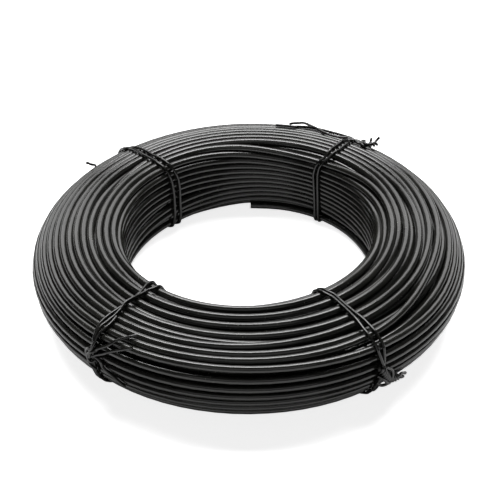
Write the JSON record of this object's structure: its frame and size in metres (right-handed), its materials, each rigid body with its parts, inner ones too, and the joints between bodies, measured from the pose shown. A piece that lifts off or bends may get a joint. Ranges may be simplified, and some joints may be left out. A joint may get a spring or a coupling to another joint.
{
  "type": "coil of binding wire",
  "caption": "Flat coil of smooth plastic-coated steel wire, wound in even turns round an open eye and held by thin twisted wire ties with loose ends.",
  "frame": {"origin": "on the floor under the coil's centre, where the undersides of the ties rest", "axes": "+Z along the coil's axis, up as it lies; -Y towards the side with the two front ties, +X to the right of it"},
  "size_m": [0.192, 0.192, 0.0402],
  "materials": {
    "coated_wire": "smooth satin charcoal coating",
    "tie_wire": "near-black drawn wire with fine bright glints"
  },
  "bodies": {
    "root": {"wire_coil": "coated_wire", "tie_front_left": "tie_wire", "tie_front_right": "tie_wire", "tie_back_left": "tie_wire", "tie_back_right": "tie_wire"}
  },
  "joints": []
}
